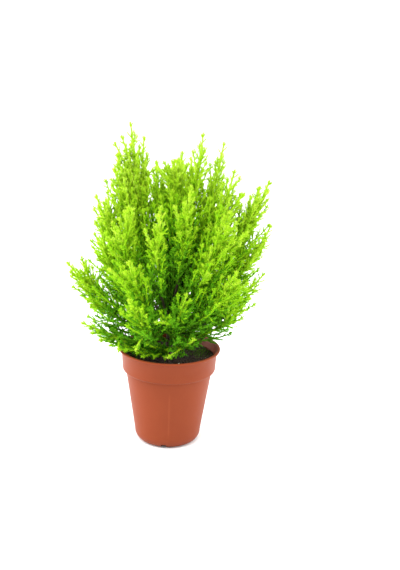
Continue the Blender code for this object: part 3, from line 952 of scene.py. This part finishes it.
def ridgedTube(edit, points, radii, sides, relief, seed):
    # A closed tube whose surface stands in lengthwise ridges.
    ring = bmesh.ops.create_circle(edit, segments=sides, radius=1)["verts"]
    edges = list({edge for vert in ring for edge in vert.link_edges})
    bmesh.ops.edgeloop_fill(edit, edges=edges)
    side = Vector((1, 0, 0))
    for index, (point, radius) in enumerate(zip(points, radii)):
        if index:
            made = bmesh.ops.extrude_edge_only(edit, edges=edges)["geom"]
            fresh = {item for item in made if isinstance(item, bmesh.types.BMVert)}
            made = [item for item in made if isinstance(item, bmesh.types.BMEdge)]
            edges = [edge for edge in made if fresh.issuperset(edge.verts)]
            ring = [vertAbove(vert, fresh) for vert in ring]
        behind, ahead = points[max(index - 1, 0)], points[min(index + 1, len(points) - 1)]
        along = (ahead - behind).normalized()
        side = (side - along * side.dot(along)).normalized()
        other = along.cross(side)
        for step, vert in enumerate(ring):
            angle = 2 * math.pi * step / sides
            around = Vector((math.cos(angle), math.sin(angle), 0))
            place = around * barkGrain["across"] + Vector((0, 0, index * barkGrain["along"] + seed))
            height = noise.noise(place)
            height += barkGrain["finerShare"] * noise.noise(place * barkGrain["finer"])
            around = side * around.x + other * around.y
            vert.co = point + around * radius * (1 + relief * height)
    bmesh.ops.edgeloop_fill(edit, edges=edges)


def barkPiece(name, edit, nodes, material):
    bmesh.ops.recalc_face_normals(edit, faces=edit.faces)
    mesh = meshFrom(edit, name)
    finishPiece(name, mesh, material, nodes, smooth=True)
    print(name, len(mesh.polygons), "faces")


def makeBark():
    material = barkMaterial()
    edit = bmesh.new()
    heights = np.linspace(trunk["foot"] - trunkBark["sunk"], trunk["top"], trunkBark["rings"])
    centres = [trunkCentre(height) for height in heights]
    radii = [trunkRadius(height) for height in heights]
    ridgedTube(edit, centres, radii, trunkBark["sides"], trunkBark["relief"], 0)
    barkPiece("trunk_bark", edit, ["trunk"], material)
    edit = bmesh.new()
    nodes = []
    for number, (name, bare, fine, coarse, tips) in enumerate(readLimbs()):
        if f"{name}_bough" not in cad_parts:
            continue
        nodes.append(f"{name}_bough")
        total = lengthOf(fine)
        marks = np.linspace(0, bare * total + bough["overlap"], bough["rings"])
        points = [pointOn(fine, mark)[0] for mark in marks]
        loss = bough["radius"] - bough["tipRadius"]
        radii = [bough["radius"] - loss * (mark / total) ** bough["taper"] for mark in marks]
        ridgedTube(edit, points, radii, bough["sides"], bough["relief"], 10 * number + 3)
    barkPiece("bough_bark", edit, nodes, material)


pot = {
    "bandHeight": 24 * mm,
    "bandTop": 56.8 * mm,
    "bandFoot": 55.0 * mm,
    "bandRound": 3.0 * mm,
    "shoulder": 3.4 * mm,
    "bodyTop": 51.0 * mm,
    "bodyFoot": 37.0 * mm,
    "cornerReach": 9 * mm,
    "cornerHeight": 13 * mm,
    "lip": 2.0 * mm,
    "lipRound": 0.8 * mm,
    "lipInner": 56.4 * mm,
    "innerRound": 0.6 * mm,
    "wall": 1.6 * mm,
    "floor": 2.0 * mm,
    "segments": 128,
    "slots": 4,
    "slotBearing": -96.5,
    "slotMiddle": 34.5 * mm,
    "slotLength": 19 * mm,
    "slotWidth": 6.5 * mm,
    "slotHeight": 5 * mm,
    "sharpAngle": 38,
}


def arc(centre, radius, first, last, steps):
    angles = [math.radians(first + (last - first) * step / steps) for step in range(steps + 1)]
    return [(centre[0] + radius * math.cos(a), centre[1] + radius * math.sin(a)) for a in angles]


def cornerProfile(inset, floor, steps):
    # The rounded lower corner, from the flat underside or floor up to the wall.
    flat = pot["bodyFoot"] - pot["cornerReach"]
    top = pot["cornerHeight"]
    taper = (pot["bodyTop"] - pot["bodyFoot"]) / (potHeight - pot["bandHeight"] - pot["shoulder"])
    wide, high = pot["bodyFoot"] + top * taper - inset - flat, top - floor
    angles = [math.radians(90 * step / steps) for step in range(steps + 1)]
    return [(flat + wide * math.sin(a), floor + high * (1 - math.cos(a))) for a in angles]


def potProfile():
    # From the middle of the underside up the outside, over the lip and down the inside.
    bandFoot = potHeight - pot["bandHeight"]
    lipFoot = potHeight - pot["lip"]
    wall, inside = pot["wall"], pot["innerRound"]
    bandRound, lipRound = pot["bandRound"], pot["lipRound"]
    bodyTop, bandTop = pot["bodyTop"], pot["bandTop"]
    return [
        (0, 0),
        *cornerProfile(0, 0, 12),
        (bodyTop, bandFoot - pot["shoulder"]),
        *arc((pot["bandFoot"] - bandRound, bandFoot - 0.2 * mm), bandRound, -78, 0, 6),
        (bandTop - 0.3 * mm, lipFoot - 0.8 * mm),
        (bandTop + 0.2 * mm, lipFoot - 0.2 * mm),
        (rimRadius - 0.7 * mm, lipFoot),
        *arc((rimRadius - lipRound, lipFoot + lipRound), lipRound, -60, 0, 3),
        *arc((rimRadius - lipRound, potHeight - lipRound), lipRound, 0, 90, 4),
        *arc((pot["lipInner"] + inside, potHeight - inside), inside, 90, 180, 3),
        (bandTop - wall, potHeight - 2.6 * mm),
        (pot["bandFoot"] - wall, bandFoot + 1 * mm),
        (bodyTop - wall, bandFoot - pot["shoulder"]),
        *reversed(cornerProfile(wall, pot["floor"], 8)),
        (0, pot["floor"]),
    ]


def slotCutter():
    edit = bmesh.new()
    size = (pot["slotLength"], pot["slotWidth"], 2 * pot["slotHeight"])
    for index in range(pot["slots"]):
        bearing = pot["slotBearing"] + 360 * index / pot["slots"]
        made = bmesh.ops.create_cube(edit, size=1)["verts"]
        bmesh.ops.scale(edit, vec=size, verts=made)
        bmesh.ops.translate(edit, vec=(pot["slotMiddle"], 0, 0), verts=made)
        turn = Quaternion((0, 0, 1), math.radians(bearing)).to_matrix()
        bmesh.ops.rotate(edit, cent=(0, 0, 0), matrix=turn, verts=made)
    return addObject("slot_cutter", meshFrom(edit, "slot_cutter"))


def makePot():
    edit = spunFrom(potProfile(), pot["segments"])
    bmesh.ops.recalc_face_normals(edit, faces=edit.faces)
    mesh = meshFrom(edit, "pot_shell")
    piece = finishPiece("pot_shell", mesh, potMaterial(), ["pot"], smooth=True)
    mesh.set_sharp_from_angle(angle=math.radians(pot["sharpAngle"]))
    cutter = slotCutter()
    cut = piece.modifiers.new("slots", "BOOLEAN")
    cut.operation = "DIFFERENCE"
    cut.solver = "EXACT"
    cut.object = cutter
    graph = bpy.context.evaluated_depsgraph_get()
    whole = bpy.data.meshes.new_from_object(piece.evaluated_get(graph))
    piece.modifiers.clear()
    piece.data = whole
    bpy.data.objects.remove(cutter)
    print("pot", len(whole.polygons))


soil = {
    "reach": 53.9 * mm,
    "rings": 34,
    "segments": 120,
    "seed": 21,
    "lump": 1.3 * mm,
    "lumpScale": 90,
    "finerLumps": 4,
    "finerShare": 0.6,
    "cushion": 1.8 * mm,
    "edgeFade": 6 * mm,
    "crumbs": 2400,
    "grit": 26,
    "grainScale": 420,
    "roughness": 0.95,
    "relief": 0.6 * mm,
}
moss = {
    "tufts": 2600,
    "spread": 0.5,
    "inset": 1.5 * mm,
    "sunk": 0.2 * mm,
    "lean": 0.6,
    "halfWidth": 0.42 * mm,
    "lengths": (1.4, 3.2),
}
# Where moss grows on the mix, as bearing, reach and spread
mossPatches = [
    (27, 43, 13), (45, 36, 12), (12, 34, 10), (60, 46, 10), (150, 40, 14), (-118, 44, 11),
    (-170, 40, 12),
]


def soilMaterial(name, light, dark):
    material, surface, place = startMaterial(name, light, soil["roughness"])
    grains = noiseAt(place, soil["grainScale"], 4)
    feed(surface, "Base Color", blendColors(grains, dark, light))
    bumpBy(surface, grains, soil["relief"], 0.8)
    return material


def soilHeight(x, y):
    place = Vector((x * soil["lumpScale"], y * soil["lumpScale"], 0))
    finer = soil["finerShare"] * noise.noise(place * soil["finerLumps"])
    lumps = (noise.noise(place) + finer) * soil["lump"]
    for bearing, reach, spread in mossPatches:
        middle = polar(bearing, reach * mm, 0)
        apart = math.hypot(x - middle.x, y - middle.y) / (spread * mm)
        lumps += soil["cushion"] * math.exp(-2 * apart * apart)
    fade = within((soil["reach"] - math.hypot(x, y)) / soil["edgeFade"])
    return soilTop + lumps * fade


def soilSpot(rng, nearest, furthest):
    # A place on the mix, evenly strewn between two shares of its area.
    spot = polar(rng.uniform(0, 360), soil["reach"] * math.sqrt(rng.uniform(nearest, furthest)), 0)
    spot.z = soilHeight(spot.x, spot.y)
    return spot


def strewGrains(name, spots, sizes, material, seed):
    # Irregular grains, each turned its own way and half sunk in the mix.
    rng = np.random.default_rng(seed)
    turns = [Quaternion(rng.normal(size=4)).normalized().to_matrix() for _ in spots]
    axes = np.array([[list(row) for row in turn] for turn in turns])
    stretch = rng.uniform(0.6, 1.15, (len(spots), 1, 3))
    stretch = stretch * rng.uniform(0.75, 1.15, (len(spots), len(crumbShape[0]), 1))
    places = np.array([[spot.x, spot.y, spot.z + 0.3 * size] for spot, size in zip(spots, sizes)])
    points = copiesOf(crumbShape, places, axes, stretch * np.array(sizes)[:, None, None])
    finishPiece(name, joinedMesh(name, crumbShape, points), material)
    print(name, len(spots))


def makeMoss(rng):
    feet = []
    leans = []
    lean = moss["lean"]
    while len(feet) < moss["tufts"]:
        bearing, reach, spread = rng.choice(mossPatches)
        foot = polar(bearing, reach * mm, 0)
        spread *= moss["spread"]
        foot += Vector((rng.gauss(0, spread * mm), rng.gauss(0, spread * mm), 0))
        if math.hypot(foot.x, foot.y) < soil["reach"] - moss["inset"]:
            foot.z = soilHeight(foot.x, foot.y) - moss["sunk"]
            feet.append(list(foot))
            upward = Vector((rng.uniform(-lean, lean), rng.uniform(-lean, lean), 1))
            leans.append(list(upward.normalized()))
    leans = np.array(leans)
    axes = np.stack([*crosswise(leans), leans], axis=1)
    width = moss["halfWidth"]
    sizes = [[width, width, rng.uniform(*moss["lengths"]) * mm] for _ in feet]
    points = copiesOf(needleShape, np.array(feet), axes, np.array(sizes)[:, None, :])
    green = soilMaterial("moss", (0.13, 0.24, 0.012), (0.045, 0.10, 0.006))
    finishPiece("moss", joinedMesh("moss", needleShape, points), green)
    print("moss", len(feet), "tufts")


def makeSoil():
    rng = random.Random(soil["seed"])
    rings = [(soil["reach"] * ring / soil["rings"], 0) for ring in range(soil["rings"] + 1)]
    edit = spunFrom(rings, soil["segments"])
    for vert in edit.verts:
        vert.co.z = soilHeight(vert.co.x, vert.co.y)
    bmesh.ops.recalc_face_normals(edit, faces=edit.faces)
    if sum(face.normal.z for face in edit.faces) < 0:
        bmesh.ops.reverse_faces(edit, faces=edit.faces)
    earth = soilMaterial("soil", (0.048, 0.032, 0.020), (0.012, 0.008, 0.005))
    finishPiece("soil_bed", meshFrom(edit, "soil_bed"), earth, ["soil"], smooth=True)
    spots = [soilSpot(rng, 0.01, 0.97) for _ in range(soil["crumbs"])]
    sizes = [rng.uniform(0.5, 1.2) ** 2 * 1.25 * mm for _ in spots]
    brown = soilMaterial("crumbs", (0.080, 0.052, 0.031), (0.016, 0.010, 0.006))
    strewGrains("soil_crumbs", spots, sizes, brown, 1)
    spots = [soilSpot(rng, 0.25, 0.95) for _ in range(soil["grit"])]
    sizes = [rng.uniform(0.7, 1.3) * mm for _ in spots]
    white = soilMaterial("grit", (0.80, 0.78, 0.72), (0.52, 0.49, 0.43))
    strewGrains("soil_grit", spots, sizes, white, 2)
    makeMoss(rng)


view = {
    "distance": 1.3,
    "height": 0.585,
    "aim": 0.195,
    "lens": 73.8,
    "shiftX": 0.0506,
    "shiftY": -0.0053,
    "roll": 1.5,
    "sensor": 36,
}
# The light all round: even, brighter at both sides, overhead and near the ground
studio = {
    "paper": (0.80, 0.80, 0.80),
    "floor": 40,
    "around": 0.36,
    "sides": 3.0,
    "above": 1.6,
    "low": 0.75,
    "lowFade": 8,
    "lampsAim": (0, 0, 0.2),
    "lampSize": 0.8,
}


def placeCamera():
    data = bpy.data.cameras.new("camera")
    data.lens = view["lens"]
    data.sensor_width = view["sensor"]
    data.shift_x = view["shiftX"]
    data.shift_y = view["shiftY"]
    data.dof.use_dof = False
    camera = addObject("camera", data)
    camera.location = (0, -view["distance"], view["height"])
    aim = Vector((0, 0, view["aim"])) - camera.location
    turn = aim.to_track_quat("-Z", "Y") @ Quaternion((0, 0, 1), math.radians(view["roll"]))
    camera.rotation_euler = turn.to_euler()
    bpy.context.scene.camera = camera


def placeLight(name, place, power, color):
    data = bpy.data.lights.new(name, "AREA")
    data.shape = "DISK"
    data.size = studio["lampSize"]
    data.energy = power
    data.color = color
    lamp = addObject(name, data)
    lamp.location = place
    aim = Vector(studio["lampsAim"]) - lamp.location
    lamp.rotation_euler = aim.to_track_quat("-Z", "Y").to_euler()


def placeSun(name, place, strength, spread):
    data = bpy.data.lights.new(name, "SUN")
    data.energy = strength
    data.angle = math.radians(spread)
    lamp = addObject(name, data)
    lamp.rotation_euler = (-Vector(place)).to_track_quat("-Z", "Y").to_euler()


def makeStudio():
    edit = bmesh.new()
    bmesh.ops.create_grid(edit, x_segments=2, y_segments=2, size=studio["floor"])
    mesh = meshFrom(edit, "floor")
    mesh.materials.append(startMaterial("paper", studio["paper"], 1.0)[0])
    floor = addObject("floor", mesh)
    world = bpy.data.worlds.new("studio")
    world.use_nodes = True
    sky = world.node_tree.nodes["Background"]
    sky.inputs["Color"].default_value = (1, 1, 1, 1)
    place = Shade(world.node_tree).add("ShaderNodeTexCoord", "Generated")
    sideways = place.axis("X")
    upward = place.axis("Z").maths("MAXIMUM", 0.0)
    low = (1 - upward * studio["lowFade"]).maths("MAXIMUM", 0.0)
    strength = studio["around"] + sideways * sideways * sideways * sideways * studio["sides"]
    strength = strength + upward * studio["above"] + low * studio["low"]
    feed(sky, "Strength", strength)
    bpy.context.scene.world = world
    placeSun("overhead", (-0.3, -0.4, 1.0), 2.45, 45)
    placeLight("left", (-1.05, 0.25, 0.40), 11, (1, 0.98, 0.96))
    placeLight("right", (1.05, 0.35, 0.40), 9, (1, 0.99, 0.97))
    bpy.context.scene.view_settings.view_transform = "Standard"


placeCamera()
makeStudio()
print("camera and studio")
makePot()
makeSoil()
makeBark()
makeFoliage()
